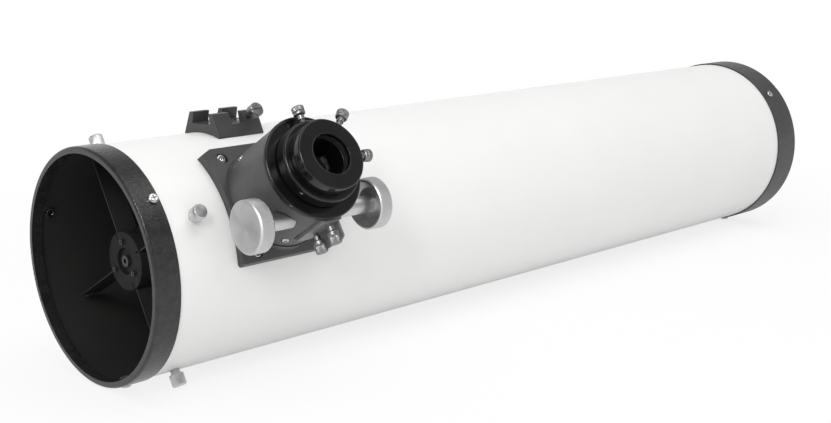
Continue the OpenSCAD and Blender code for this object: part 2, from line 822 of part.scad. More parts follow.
// Children at the top ring's set screws, with z = 0 at their inner ends
module at_top_screws() {
    for (k = [0 : 2])
        from_focus_axis(body_h + top_ring_t / 2, top_screw_angle + 120 * k)
            translate([0, 0, top_ring_d / 2 - top_screw_len - 0.4]) children();
}

module top_ring_screws() {
    color("silver") at_top_screws() translate([0, 0, top_screw_len]) set_screw(top_screw_d, top_screw_len);
}

// Children at roller k, with z along its pin, on the side away from the axle
module at_roller(k) {
    turn = (k < 2 ? -1 : 1) * roller_angle;
    on_focuser(k % 2 == 0 ? roller_low : roller_high) rotate([0, 0, turn]) translate([0, roller_r, 0])
        rotate([0, 90, 0]) children();
}

module roller_pockets() {
    for (k = [0 : 3])
        at_roller(k) {
            cylinder(d = roller_d + 4 * run_gap, h = roller_w + 2 * run_gap, center = true);
            cylinder(d = roller_pin_d, h = roller_pin_len, center = true);
            translate([0, -roller_d / 2, 0])
                cube([roller_d + 4 * run_gap, roller_d, roller_w + 2 * run_gap], center = true);
        }
}

module roller_pins() {
    color("silver") for (k = [0 : 3])
        at_roller(k) cylinder(d = roller_pin_d, h = roller_pin_len, center = true);
}

module roller(k) {
    color("lightgray") at_roller(k) translate([0, 0, -roller_w / 2])
        pipe(roller_d / 2, roller_pin_d / 2 + pin_gap, roller_w);
}

// Children along the focus axle, with z = 0 at the focuser's axis
module axle_line() {
    on_focuser(axle_h) translate([0, -axle_y, 0]) rotate([0, 90, 0]) children();
}

bush_from = axle_thin / 2 + 2.7;

// Room for the two bushes, or the bushes themselves when bore is their inner diameter
module bush_space(bore) {
    for (side = [0, 1])
        mirror([0, 0, side]) translate([0, 0, bush_from]) difference() {
            cylinder(d = bush_d, h = bush_len);
            if (bore > 0) translate([0, 0, -1]) cylinder(d = bore, h = bush_len + 2);
        }
}

module axle_bushes() {
    color("goldenrod") axle_line() bush_space(axle_end_d + 2 * pin_gap);
}

block_low = body_h - joint_gap - block_len;
guard_low = block_low + 5.8;
guard_corner = 3.5;
block_in = axle_y + 0.9;

// Room for the axle block in the body
module block_slot() {
    on_focuser() translate([block_mid - block_w / 2 - block_gap, -block_out - 4, block_low - joint_gap])
        cube([block_w + 2 * block_gap, block_out + 4 - body_bore_d / 2 + 5, body_h - block_low + 4]);
}

// Outline of the plate beside the block's screws: x outwards, y along the focuser's axis
module block_guard() {
    polygon([[block_in + 1, 0], [guard_out, 0], [guard_out, guard_len - guard_corner],
        [guard_out - guard_corner / 2, guard_len], [block_in + 1, guard_len]]);
}

// Block under the axle that carries the tension and lock screws
module axle_block() {
    color([0.42, 0.42, 0.41]) difference() {
        union() {
            intersection() {
                on_focuser() translate([block_mid - block_w / 2, -block_out, block_low])
                    cube([block_w, block_out - block_in, block_len]);
                on_focuser() cylinder(r = block_out, h = deep, $fn = fine);
            }
            on_focuser(guard_low) translate([block_mid + block_w / 2, 0, 0]) rotate([90, 0, -90])
                linear_extrude(guard_t) block_guard();
        }
        axle_line() cylinder(d = axle_d + 2 * pin_gap, h = deep, center = true);
        for (side = [-1, 1])
            at_block_screw(side) cylinder(d = tension_thread_d + 2 * pin_gap, h = deep / 2);
    }
}

// Children at a block screw: side -1 is the tension screw, 1 the lock screw; z points outwards
module at_block_screw(side) {
    on_focuser(axle_h + (side > 0 ? lock_dz : -tension_dz)) translate([block_mid, 0, 0])
        rotate([90, 0, 0]) children();
}

module block_screw(side, tip) {
    color("gainsboro") at_block_screw(side) translate([0, 0, tip])
        thumbscrew(block_out + tension_bare + tension_len - tip, tension_d, tension_len,
            tension_thread_d, thumb_neck_d, block_out + 1.3 - tip);
}

module tension_screw() {
    block_screw(-1, block_in + 1);
}

module lock_screw() {
    block_screw(1, draw_flat + run_gap);
}

module focus_axle() {
    color("silver") axle_line() {
        cylinder(d = axle_d, h = axle_thin + 2, center = true);
        for (side = [-1, 1])
            translate([0, 0, side > 0 ? axle_thin / 2 : -axle_thin / 2 - axle_half(side)])
                cylinder(d = axle_end_d, h = axle_half(side));
    }
}

// Length of the thick part of the axle on one side, up to 3 mm short of the knob's face
function axle_half(side) = knob_span / 2 + side * axle_shift - axle_thin / 2 - 3;

// Turned knob with a hub that reaches to the bush on one side; local z = 0 is its outer face
module focus_knob(side) {
    r = knob_d / 2;
    hub = knob_hub_d / 2;
    hub_end = knob_span / 2 + side * axle_shift - bush_from - bush_len - run_gap;
    difference() {
        rotate_extrude($fn = fine) union() {
            bevel_section(r, knob_t, 1, 1);
            translate([0, knob_t - knob_dish - 1]) square([hub, hub_end - knob_t + knob_dish + 1]);
        }
        rotate_extrude($fn = fine)
            polygon([[hub, knob_t - knob_dish], [r - 7, knob_t - knob_dish], [r - 2, knob_t + 1],
                [hub, knob_t + 1]]);
        translate([0, 0, 3]) cylinder(d = axle_end_d, h = deep);
    }
}

module focus_knob_left() {
    color("gainsboro") axle_line() translate([0, 0, axle_shift - knob_span / 2]) focus_knob(-1);
}

module focus_knob_right() {
    color("gainsboro") axle_line() translate([0, 0, axle_shift + knob_span / 2]) mirror([0, 0, 1])
        focus_knob(1);
}

module drawtube() {
    color([0.75, 0.75, 0.75]) difference() {
        on_focuser(draw_low) cylinder(d = draw_d, h = collar_low + collar_lap - draw_low, $fn = fine);
        on_focuser() cylinder(d = draw_bore_d, h = deep, $fn = fine);
        on_focuser() translate([-draw_d, -draw_flat - draw_d, draw_low - 1])
            cube([2 * draw_d, draw_d, collar_low - draw_low - 0.5]);
    }
}

module eyepiece_collar() {
    color([0.13, 0.13, 0.13]) difference() {
        on_focuser(collar_low) rotate_extrude($fn = fine)
            ring_section(draw_bore_d / 2, collar_d / 2, 0, collar_t, 0.8, 1.5);
        on_focuser(collar_low - 1) cylinder(d = draw_d, h = collar_lap + 1, $fn = fine);
        on_focuser(collar_screw_h) clamp_groove(draw_bore_d);
        from_focus_axis(collar_screw_h, collar_screw_angle)
            cylinder(d = thumb_thread_d + 2 * pin_gap, h = deep);
        collar_set_place() translate([0, 0, -1]) cylinder(d = grub_d, h = deep / 2);
    }
}

// Groove for a clamping band round a bore, centred on z = 0
module clamp_groove(bore) {
    translate([0, 0, -clamp_w / 2]) pipe(bore / 2 + clamp_t + joint_gap, bore / 2 - 1, clamp_w);
}

// Split brass band that a thumbscrew presses on the eyepiece's barrel
module clamp_band(bore) {
    difference() {
        translate([0, 0, joint_gap - clamp_w / 2])
            pipe(bore / 2 + clamp_t, bore / 2 + 0.1, clamp_w - 2 * joint_gap);
        translate([-bore, -1, -clamp_w]) cube([bore, 2, 2 * clamp_w]);
    }
}

module collar_clamp_ring() {
    color("goldenrod") on_focuser(collar_screw_h) clamp_band(draw_bore_d);
}

module collar_screw() {
    tip = draw_bore_d / 2 + clamp_t + run_gap;
    color("gainsboro") from_focus_axis(collar_screw_h, collar_screw_angle) translate([0, 0, tip])
        thumbscrew(collar_d / 2 + 6 + thumb_len - tip, thumb_d, thumb_len, thumb_thread_d, thumb_neck_d,
            collar_d / 2 + 3 - tip);
}

module collar_set_place() {
    from_focus_axis(collar_screw_h, collar_grub_angle) translate([0, 0, collar_set_tip]) children();
}

// Set screw that keeps the collar's band in place
module collar_set_screw() {
    set_len = collar_d / 2 - collar_set_tip - 0.3;
    color("silver") collar_set_place() translate([0, 0, set_len]) set_screw(grub_d, set_len);
}

/* ---------- Eyepiece adapter ---------- */

module adapter() {
    socket_h = adapter_h - socket_len;
    color([0.13, 0.13, 0.13]) difference() {
        union() {
            on_focuser(collar_h) rotate_extrude($fn = fine)
                ring_section(socket_d / 2, adapter_d / 2, 0, adapter_t, 0.6, 1.2);
            on_focuser(collar_h - barrel_len) cylinder(d = barrel_d, h = barrel_len + little, $fn = fine);
        }
        on_focuser() cylinder(d = socket_d, h = deep, $fn = fine);
        on_focuser() cylinder(d = adapter_wide_d, h = socket_h, $fn = fine);
        on_focuser(adapter_screw_h) clamp_groove(socket_d);
        for (angle = [adapter_screw_a, adapter_screw_b])
            from_focus_axis(adapter_screw_h, angle) cylinder(d = thumb_thread_d + 2 * pin_gap, h = deep);
    }
}

module adapter_clamp_ring() {
    color("goldenrod") on_focuser(adapter_screw_h) clamp_band(socket_d);
}

// Thumbscrew of the adapter; out is how far it is backed out from the clamping band
module adapter_screw(angle, out) {
    tip = socket_d / 2 + clamp_t + run_gap + out;
    color("gainsboro") from_focus_axis(adapter_screw_h, angle) translate([0, 0, tip])
        thumbscrew(adapter_d / 2 + 3.8 + out + thumb_len - tip, thumb_d, thumb_len, thumb_thread_d,
            thumb_neck_d, adapter_d / 2 + 2.5 + out - tip);
}

/* ---------- Finder shoe ---------- */

module finder_shoe() {
    foot = shoe_foot_w / 2;
    top = shoe_top_w / 2;
    low = groove_low_w / 2;
    mouth = groove_top_w / 2;
    edge = sqrt(tube_r * tube_r - foot * foot);
    color([0.3, 0.3, 0.3]) difference() {
        on_tube(shoe_s, shoe_angle) rotate([90, 0, 90]) linear_extrude(shoe_len)
            polygon([[-foot, edge - 3], [foot, edge - 3], [foot, edge + foot_edge], [top, shoe_top],
                [mouth, shoe_top], [low, shoe_groove], [-low, shoe_groove], [-mouth, shoe_top],
                [-top, shoe_top], [-foot, edge + foot_edge]]);
        along_tube(shoe_s - 1) cylinder(r = tube_r + joint_gap, h = shoe_len + 2, $fn = fine);
        on_tube(shoe_s + shoe_mid + shoe_notch_x - shoe_notch / 2, shoe_angle)
            translate([0, -foot - 1, shoe_groove]) cube([shoe_notch, 2 * foot + 2, deep]);
        at_shoe_screws() {
            cylinder(d = screw_d + 2 * joint_gap, h = deep / 2);
            translate([0, 0, shoe_seat]) cylinder(d = screw_head_d + 0.6, h = deep / 2);
        }
        shoe_screw_place() cylinder(d = thumb_thread_d + 2 * pin_gap, h = 20, center = true);
    }
}

// Children at the shoe's thumbscrew, with z = 0 on the wall's outer face and +z outwards
module shoe_screw_place() {
    mid_h = shoe_groove + shoe_wall_h / 2;
    foot_h = sqrt(tube_r * tube_r - pow(shoe_foot_w / 2, 2)) + foot_edge;
    slope = (shoe_foot_w - shoe_top_w) / 2 / (shoe_top - foot_h);
    y = shoe_top_w / 2 + (shoe_top - mid_h) * slope;
    on_tube(shoe_s + shoe_mid + shoe_thumb_x, shoe_angle) translate([0, -y, mid_h])
        rotate([90 - shoe_screw_tilt, 0, 0]) children();
}

module finder_shoe_screw() {
    reach = 15;
    color("gainsboro") shoe_screw_place() difference() {
        translate([0, 0, -3]) thumbscrew(reach + 3, shoe_thumb_d, shoe_thumb_len, thumb_thread_d,
            thumb_neck_d, 8.5);
        translate([-shoe_thumb_d, -0.6, reach - 1.2]) cube([2 * shoe_thumb_d, 1.2, 3]);
    }
}

/* ---------- Main mirror and its cell ---------- */

// Concave glass disc; the front follows a circle of twice the focal length
module primary_mirror() {
    steps = 12;
    hollow = 2 * mirror_f;
    color([0.8, 0.85, 0.9]) along_tube(mirror_front) rotate_extrude($fn = fine)
        polygon(concat([[0, mirror_t], [mirror_edge_r, mirror_t]],
            [for (i = [steps : -1 : 0])
                let (r = mirror_edge_r * i / steps)
                    [r, (mirror_edge_r * mirror_edge_r - r * r) / (2 * hollow)]]));
}

module at_bolts(s, r = bolt_r, turn = 0) {
    for (k = [0 : 2])
        beside_axis(s, bolt_angle + turn + 120 * k, r) children();
}

module mirror_pads() {
    color("burlywood") at_bolts(mirror_back, bolt_r - 8) cylinder(d = pad_d, h = pad_t);
}

// Floating plate with openings that let air to the mirror
module mirror_cell() {
    color([0.25, 0.25, 0.25]) difference() {
        along_tube(cell_front) rotate_extrude($fn = fine) bevel_section(cell_d / 2, cell_t, 0.5, 0.5);
        along_tube(cell_front - 1) cylinder(d = middle_hole_d, h = cell_t + 2);
        at_bolts(cell_front - 1, cell_hole_r, hole_turn) cylinder(d = cell_hole_d, h = cell_t + 2);
        at_bolts(cell_front - 1) cylinder(d = bolt_d, h = cell_t + 2);
        at_clips() translate([cell_front - clip_front - 1, 0, clip_r + clip_t / 2]) rotate([0, 90, 0])
            cylinder(d = 3, h = deep / 4);
    }
}

// Children at each mirror clip, with x = 0 on the clip's front face and z from the axis
module at_clips() {
    for (k = [0 : 2])
        on_tube(clip_front - 2, bolt_angle + 60 + 120 * k) children();
}

module mirror_clips() {
    color([0.15, 0.15, 0.15]) at_clips() difference() {
        union() {
            translate([0, -clip_w / 2, clip_r]) cube([cell_front - clip_front + 2 - little, clip_w, clip_t]);
            translate([0, -clip_w / 2, clip_r - run_gap - clip_reach])
                cube([2, clip_w, clip_t + clip_reach + run_gap]);
        }
        translate([-1, 0, clip_r + clip_t / 2]) rotate([0, 90, 0]) cylinder(d = 2, h = deep / 4);
    }
}

module clip_screws() {
    color("silver") at_clips() translate([0, 0, clip_r + clip_t / 2]) rotate([0, -90, 0])
        pan_screw(2, 4, 1.4, cell_front - clip_front + 2 + cell_t - 0.5);
}

module collimation_bolts() {
    color("silver") at_bolts(cell_front) cylinder(d = bolt_d, h = bolt_end - cell_front);
}

module collimation_springs() {
    color("silver") at_bolts(cell_back_s) pipe(spring_d / 2, bolt_d / 2 + 1.2, spring_len);
}

// Casting inside the tube's rear end: a rim that the ring screws hold, and a plate with three arms
module cell_back() {
    color([0.3, 0.3, 0.3]) difference() {
        union() {
            along_tube(rim_front) pipe(rim_r, rim_r - rim_wall, rim_len, $fn = fine);
            along_tube(back_front) cylinder(r = rim_r - little, h = back_t, $fn = fine);
        }
        along_tube(back_front - 1) cylinder(d = back_middle_d, h = back_t + 2);
        at_bolts(back_front - 1, back_hole_r, hole_turn) cylinder(d = back_hole_d, h = back_t + 2);
        at_bolts(back_front - 1) cylinder(d = bolt_d + 2 * bolt_play, h = back_t + 2);
        at_bolts(back_front - 1, bolt_r, lock_angle) cylinder(d = lock_d + 2 * pin_gap, h = back_t + 2);
        at_ring_screws([1]) cylinder(d = screw_d, h = deep / 2);
    }
}

// Knob that turns on a collimating bolt against the back plate
module collimation_knob(k) {
    reach = knob_face - back_s;
    color("silver") beside_axis(back_s + little, bolt_angle + 120 * k, bolt_r) difference() {
        union() {
            cylinder(d = 10, h = reach + 1);
            translate([0, 0, reach]) rotate_extrude() bevel_section(col_knob_d / 2, col_knob_t, 1, 1);
        }
        translate([0, 0, -1]) cylinder(d = bolt_d + 2 * bolt_play, h = knob_bore_end - back_s + 1);
    }
}

// Screw that presses on the mirror's plate to lock its tilt
module cell_lock(k) {
    tip = cell_back_s + lock_back_off;
    reach = knob_face + 9 - tip;
    color("silver") beside_axis(tip, bolt_angle + lock_angle + 120 * k, bolt_r)
        thumbscrew(reach, lock_head_d, 8, lock_d, 7, knob_face - 1 - tip);
}

tube();
front_ring();
rear_ring();
ring_screws();
mounting_screws();
tube_nuts();
spider_hub();
spider_vanes();
hub_screws();
vane_knob(0);  // vane_knob_1
vane_knob(1);  // vane_knob_2
vane_knob(2);  // vane_knob_3
vane_knob(3);  // vane_knob_4
secondary_bolt();
secondary_screws();
secondary_holder();
secondary_mirror();
focuser_base();
focuser_body();
body_screws();
top_ring();
top_ring_screws();
roller_pins();
roller(0);  // roller_1
roller(1);  // roller_2
roller(2);  // roller_3
roller(3);  // roller_4
axle_bushes();
axle_block();
drawtube();
eyepiece_collar();
collar_clamp_ring();
collar_screw();
collar_set_screw();
focus_axle();
focus_knob_left();
focus_knob_right();
tension_screw();
lock_screw();
adapter();
adapter_clamp_ring();
adapter_screw(adapter_screw_a, adapter_out_a);  // adapter_screw_1
adapter_screw(adapter_screw_b, adapter_out_b);  // adapter_screw_2
finder_shoe();
finder_shoe_screw();
primary_mirror();
mirror_pads();
mirror_clips();
clip_screws();
mirror_cell();
collimation_bolts();
collimation_springs();
cell_back();
collimation_knob(0);  // collimation_knob_1
collimation_knob(1);  // collimation_knob_2
collimation_knob(2);  // collimation_knob_3
cell_lock(0);  // cell_lock_1
cell_lock(1);  // cell_lock_2
cell_lock(2);  // cell_lock_3
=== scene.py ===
"""Looks of the Newtonian optical tube: procedural materials on its solids, and turned, knurled
and coiled pieces in place of the plain ones. Objects are in metres, in the model's own frame.
The outlines of turned pieces are written in millimetres."""
import json
import math

import bpy
from mathutils import Matrix, Vector


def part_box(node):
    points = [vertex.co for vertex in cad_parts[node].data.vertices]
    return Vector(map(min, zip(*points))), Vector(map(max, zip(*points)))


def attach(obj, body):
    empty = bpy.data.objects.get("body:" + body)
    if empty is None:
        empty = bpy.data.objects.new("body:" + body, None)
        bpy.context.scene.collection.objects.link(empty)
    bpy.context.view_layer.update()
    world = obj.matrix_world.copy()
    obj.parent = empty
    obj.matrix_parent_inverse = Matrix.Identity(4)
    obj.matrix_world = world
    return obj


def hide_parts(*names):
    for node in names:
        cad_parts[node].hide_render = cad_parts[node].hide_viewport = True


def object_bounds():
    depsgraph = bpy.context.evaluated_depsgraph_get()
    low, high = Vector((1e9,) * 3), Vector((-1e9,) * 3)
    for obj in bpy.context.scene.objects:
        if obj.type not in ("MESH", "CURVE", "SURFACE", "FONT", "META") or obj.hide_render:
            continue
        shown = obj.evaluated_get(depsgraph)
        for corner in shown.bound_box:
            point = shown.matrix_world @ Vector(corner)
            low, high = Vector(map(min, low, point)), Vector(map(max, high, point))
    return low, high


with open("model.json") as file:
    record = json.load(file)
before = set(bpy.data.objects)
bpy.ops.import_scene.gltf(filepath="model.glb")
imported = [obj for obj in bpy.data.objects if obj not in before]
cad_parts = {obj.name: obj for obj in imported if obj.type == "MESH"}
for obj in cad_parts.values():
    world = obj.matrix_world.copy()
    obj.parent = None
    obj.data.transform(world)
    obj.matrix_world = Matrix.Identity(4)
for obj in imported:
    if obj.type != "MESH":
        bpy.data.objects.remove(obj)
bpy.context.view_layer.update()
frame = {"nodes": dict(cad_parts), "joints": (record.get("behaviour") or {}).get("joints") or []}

NODES = frame["nodes"]
JOINTS = {joint["name"]: joint for joint in frame["joints"]}
MM = 0.001
FULL_TURN = 2 * math.pi
WHITE_LIGHT = (1, 1, 1, 1)


# ---------- Node trees ----------

class Tree:
    """Adds nodes to the node tree of a material or a world.

    An input is given by its name or number. It holds a value or is linked to a socket."""

    def __init__(self, owner, clear=True):
        owner.use_nodes = True
        self.tree = owner.node_tree
        if clear:
            self.tree.nodes.clear()

    def link(self, socket, target):
        self.tree.links.new(socket, target)

    def add(self, kind, inputs=None, **settings):
        node = self.tree.nodes.new("ShaderNode" + kind)
        for name, value in settings.items():
            setattr(node, name, value)
        for key, value in (inputs or {}).items():
            if isinstance(value, bpy.types.NodeSocket):
                self.link(value, node.inputs[key])
            else:
                node.inputs[key].default_value = value
        return node

    def object_point(self):
        """The shaded point, in the coordinates of its object."""
        return self.add("TexCoord").outputs["Object"]

    def math(self, operation, first, second=0.0):
        return self.add("Math", {0: first, 1: second}, operation=operation).outputs[0]

    def vector(self, operation, first, second=None):
        """Result of a vector operation: a number for a length or a dot product."""
        inputs = {0: first} if second is None else {0: first, 1: second}
        outputs = self.add("VectorMath", inputs, operation=operation).outputs
        return outputs["Value" if operation in ("LENGTH", "DOT_PRODUCT") else "Vector"]

    def span(self, value, low, high, to_low, to_high):
        """Maps the span from low to high onto to_low to to_high, and holds it within them."""
        return self.add("MapRange", {"Value": value, "From Min": low, "From Max": high,
                                     "To Min": to_low, "To Max": to_high}).outputs[0]

    def mix_colours(self, factor, first, second):
        return self.add("Mix", {0: factor, 6: first, 7: second}, data_type="RGBA").outputs[2]

    def mix_numbers(self, factor, first, second):
        return self.add("Mix", {0: factor, 2: first, 3: second}, data_type="FLOAT").outputs[0]

    def noise(self, vector, scale, detail=2.0, rough=0.5):
        return self.add("TexNoise", {"Vector": vector, "Scale": scale, "Detail": detail,
                                     "Roughness": rough}).outputs[0]

    def bump(self, height, depth, normal):
        """Normal bent by a height, whose full depth is in millimetres."""
        return self.add("Bump", {"Height": height, "Distance": depth * MM, "Strength": 1.0,
                                 "Normal": normal}).outputs[0]


def grey(value, warm=0.0):
    """A near neutral linear colour; warm shifts it a little to yellow."""
    return (value * (1 + warm), value, value * (1 - warm), 1.0)


def turned_coordinates(tree, place):
    """Radius and height about the Z axis of a place, or of the object, as a vector."""
    coords = tree.object_point()
    if place is not None:
        back = place.inverted()
        coords = tree.add("Mapping", {"Vector": coords, "Location": back.to_translation(),
                                      "Rotation": back.to_euler()}).outputs[0]
    parts = tree.add("SeparateXYZ", {0: coords}).outputs
    flat = tree.add("CombineXYZ", {0: parts[0], 1: parts[1]}).outputs[0]
    return tree.add("CombineXYZ", {0: tree.vector("LENGTH", flat), 1: parts[2]}).outputs[0]


def turned_tangent(tree, place):
    """Direction of the turning marks, round the Z axis of a place, or of the object."""
    if place is None:
        return tree.add("Tangent", direction_type="RADIAL", axis="Z").outputs[0]
    out = tree.vector("SUBTRACT", tree.object_point(), place.to_translation())
    return tree.vector("CROSS_PRODUCT", place.to_3x3().col[2], out)


# What all the materials share. A span is the part of a noise's values that is used, and a scale
# is how fine a noise is, in features per metre
MOTTLE_SPAN = (0.35, 0.65)
GLOSS_SPAN = (0.3, 0.7)
GLOSS_FINENESS = 6            # how much finer the gloss varies than the colour
GROOVE_SCALE = 5200.0
GROOVE_GLOSS = 0.05           # how much the turning marks change the roughness
WEAR_BEND = (0.985, 0.86)     # cosines of a bevel's bend, where the wear starts and is full
WEAR_SCALE = 260.0
WEAR_SPAN = (0.38, 0.62)
LEAST_WEAR = 0.15
BEVEL_SAMPLES = 6


def look(name, colour, second, rough, metal=0.0, mottle=30.0, grain=1200.0, depth=0.01,
         rough_span=0.06, coarse=None, edge=None, edge_radius=0.35, turned=None,
         turned_depth=0.0, specular=0.5, streak=0.0):
    """A painted, cast or machined surface: mottled colour, fine grain, uneven gloss, worn edges.

    depth, edge_radius and turned_depth are in millimetres; mottle and grain are noise scales;
    coarse is (scale, depth) of a second, larger texture; edge is (colour, amount) of the wear;
    turned is the place whose Z axis the turning marks go round, or None for the object's own;
    streak is how far the turning marks draw out a highlight."""
    material = bpy.data.materials.new(name)
    tree = Tree(material)
    coords = tree.object_point()
    cloud = tree.span(tree.noise(coords, mottle, 4.0, 0.6), *MOTTLE_SPAN, 0.0, 1.0)
    tint = tree.mix_colours(cloud, colour, second)
    fine = tree.noise(coords, grain, 2.0, 0.6)
    gloss = tree.span(tree.noise(coords, mottle * GLOSS_FINENESS, 3.0, 0.65), *GLOSS_SPAN,
                      rough - rough_span, rough + rough_span)
    soft = tree.add("Bevel", {"Radius": edge_radius * MM}, samples=BEVEL_SAMPLES).outputs[0]
    normal = soft
    if turned_depth:
        groove = tree.noise(turned_coordinates(tree, turned), GROOVE_SCALE, 2.0, 0.7)
        normal = tree.bump(groove, turned_depth, normal)
        marks = tree.span(groove, *GLOSS_SPAN, -GROOVE_GLOSS, GROOVE_GLOSS)
        gloss = tree.math("ADD", gloss, marks)
    if coarse:
        scale, coarse_depth = coarse
        normal = tree.bump(tree.noise(coords, scale, 1.0, 0.4), coarse_depth, normal)
    normal = tree.bump(fine, depth, normal)
    if edge:
        worn_colour, amount = edge
        bend = tree.vector("DOT_PRODUCT", soft, tree.add("NewGeometry").outputs["Normal"])
        patches = tree.span(tree.noise(coords, WEAR_SCALE, 4.0, 0.7), *WEAR_SPAN, LEAST_WEAR, 1.0)
        worn = tree.math("MULTIPLY", tree.span(bend, *WEAR_BEND, 0.0, amount), patches)
        tint = tree.mix_colours(worn, tint, worn_colour)
    shader = tree.add("BsdfPrincipled", {"Base Color": tint, "Roughness": gloss,
                                         "Metallic": metal, "Normal": normal,
                                         "Specular IOR Level": specular, "Anisotropic": streak})
    if streak:
        tree.link(turned_tangent(tree, turned), shader.inputs["Tangent"])
    tree.add("OutputMaterial", {0: shader.outputs[0]})
    return material


def by_radius(material, place, radius, first, second, rough, metal, outside):
    """Gives what lies outside or inside a radius about the Z axis of a place another finish."""
    tree = Tree(material, clear=False)
    inputs = next(node for node in tree.tree.nodes if node.type == "BSDF_PRINCIPLED").inputs
    reach = tree.add("SeparateXYZ", {0: turned_coordinates(tree, place)}).outputs[0]
    chosen = tree.math("GREATER_THAN" if outside else "LESS_THAN", reach, radius)
    paint = inputs["Base Color"].links[0].from_socket
    gloss = inputs["Roughness"].links[0].from_socket
    cloud = tree.noise(tree.object_point(), scale=25.0, detail=4.0)
    other = tree.mix_colours(cloud, first, second)
    tree.link(tree.mix_colours(chosen, paint, other), inputs["Base Color"])
    tree.link(tree.mix_numbers(chosen, gloss, rough), inputs["Roughness"])
    if metal != bool(inputs["Metallic"].default_value):
        share = chosen if metal else tree.math("SUBTRACT", 1.0, chosen)
        tree.link(share, inputs["Metallic"])


def smooth(data, angle=32):
    """Shades a mesh smooth, apart from edges sharper than an angle in degrees."""
    data.shade_smooth()
    data.set_sharp_from_angle(angle=math.radians(angle))


def dress(material, *names):
    """Puts a material in the slots of CAD nodes."""
    for name in names:
        data = NODES[name].data
        data.materials.clear()
        data.materials.append(material)
        smooth(data)


# ---------- Turned pieces ----------

OBLIQUE = Vector((0.3, 0.5, 0.8))     # lies along no axis of the model
ON_AXIS = 1e-7                        # an outline's point nearer than this closes the piece
LONGEST_ROUNDING = 0.49               # of an edge, so that the roundings at its ends don't meet
PLAIN_SIDES = 72
SIDES_PER_TOOTH = 4


def add_object(name, data):
    made = bpy.data.objects.new(name, data)
    bpy.context.scene.collection.objects.link(made)
    return made


def add_piece(name, points, faces, place):
    data = bpy.data.meshes.new(name)
    data.from_pydata(points, [], faces)
    data.validate()
    data.update()
    smooth(data)
    made = add_object(name, data)
    made.matrix_world = place
    return made


def stands_for(made, node, body, material):
    made.data.materials.append(material)
    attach(made, body)
    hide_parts(node)


def own_place(node, axis):
    """Place at a CAD node's low end along an axis, and the node's radius and height in
    millimetres. The place has its Z along the axis."""
    along = Vector(axis).normalized()
    side = along.cross(OBLIQUE).normalized()
    turn = Matrix((side, along.cross(side), along)).transposed()
    back = turn.inverted()
    points = [back @ vertex.co for vertex in NODES[node].data.vertices]
    low = [min(point[i] for point in points) for i in range(3)]
    high = [max(point[i] for point in points) for i in range(3)]
    base = Vector(((low[0] + high[0]) / 2, (low[1] + high[1]) / 2, low[2]))
    place = Matrix.Translation(turn @ base) @ turn.to_4x4()
    return place, (high[0] - low[0]) / 2 / MM, (high[2] - low[2]) / MM


def rounded(corners, steps=3):
    """Outline in metres, as (radius, height, knurl), from corners in millimetres.

    A corner is (radius, height). It may add how far it is rounded, and then the depth of its
    knurl."""
    corners = [tuple(number * MM for number in (corner + (0, 0))[:4]) for corner in corners]
    outline = []
    last = len(corners) - 1
    for i, (r, z, size, knurl) in enumerate(corners):
        if i in (0, last) or size <= 0:
            outline.append((r, z, knurl))
            continue
        here = Vector((r, z))
        back = Vector(corners[i - 1][:2]) - here
        ahead = Vector(corners[i + 1][:2]) - here
        reach = min(size, back.length * LONGEST_ROUNDING, ahead.length * LONGEST_ROUNDING)
        start = here + back.normalized() * reach
        end = here + ahead.normalized() * reach
        for k in range(steps + 1):
            t = k / steps
            point = start.lerp(here, t).lerp(here.lerp(end, t), t)
            outline.append((point.x, point.y, knurl))
    return outline


def lathe(name, outline, place, teeth=0, lean=0.0):
    """Turns an outline round the Z axis of a place.

    Where a point has a knurl, its radius follows a row of teeth, which lean by so many radians
    for each metre of height."""
    count = teeth * SIDES_PER_TOOTH if teeth else PLAIN_SIDES
    points, faces, rows = [], [], []
    for r, z, knurl in outline:
        if r < ON_AXIS:
            rows.append([len(points)])
            points.append((0.0, 0.0, z))
            continue
        rows.append(list(range(len(points), len(points) + count)))
        for k in range(count):
            angle = FULL_TURN * k / count
            bite = knurl * (0.5 - 0.5 * math.cos(teeth * (angle + lean * z)))
            points.append(((r - bite) * math.cos(angle), (r - bite) * math.sin(angle), z))
    for low, high in zip(rows, rows[1:]):
        for k in range(count):
            n = (k + 1) % count
            if len(low) == 1:
                faces.append((low[0], high[n], high[k]))
            elif len(high) == 1:
                faces.append((low[k], low[n], high[0]))
            else:
                faces.append((low[k], low[n], high[n], high[k]))
    return add_piece(name, points, faces, place)


def turned_piece(node, axis, body, material, corners, sizes=(), teeth=0, lean=0.0):
    """Stands a turned piece in for a CAD node, on its axis and at its size."""
    place, r, full = own_place(node, axis)
    outline = rounded(corners(r, full, *sizes))
    stands_for(lathe(node + "_turned", outline, place, teeth, lean), node, body, material)


# ---------- Materials ----------

white = look("tube_paint", grey(0.86, 0.004), grey(0.845, 0.008), 0.42, mottle=14, grain=520,
             depth=0.006, coarse=(160.0, 0.012), edge=(grey(0.6), 0.3), specular=0.4)
flat_black = look("flat_black", grey(0.011), grey(0.016, 0.03), 0.72, mottle=25, grain=1500,
                  depth=0.03, rough_span=0.08, specular=0.25)
hammered = look("front_ring_paint", grey(0.016), grey(0.027), 0.2, mottle=160, grain=1100,
                depth=0.03, coarse=(820.0, 0.34), edge=(grey(0.2), 0.2), edge_radius=0.5,
                specular=0.45)
rear_paint = look("rear_ring_paint", grey(0.03), grey(0.042), 0.42, mottle=40, grain=1000,
                  depth=0.012, edge=(grey(0.3), 0.3), edge_radius=0.5)
cell_paint = look("cell_paint", grey(0.03), grey(0.05), 0.5, mottle=60, grain=1100, depth=0.04,
                  coarse=(300.0, 0.03), edge=(grey(0.35), 0.5))
# A darker copy of the focuser's grey: painted shade on the base plate, which is the same grey as
# the body
shaded_base_grey = look("shaded_base_grey", grey(0.044, 0.01), grey(0.054, 0.012), 0.44, mottle=50, grain=1900,
                 depth=0.012, edge=(grey(0.35), 0.4))
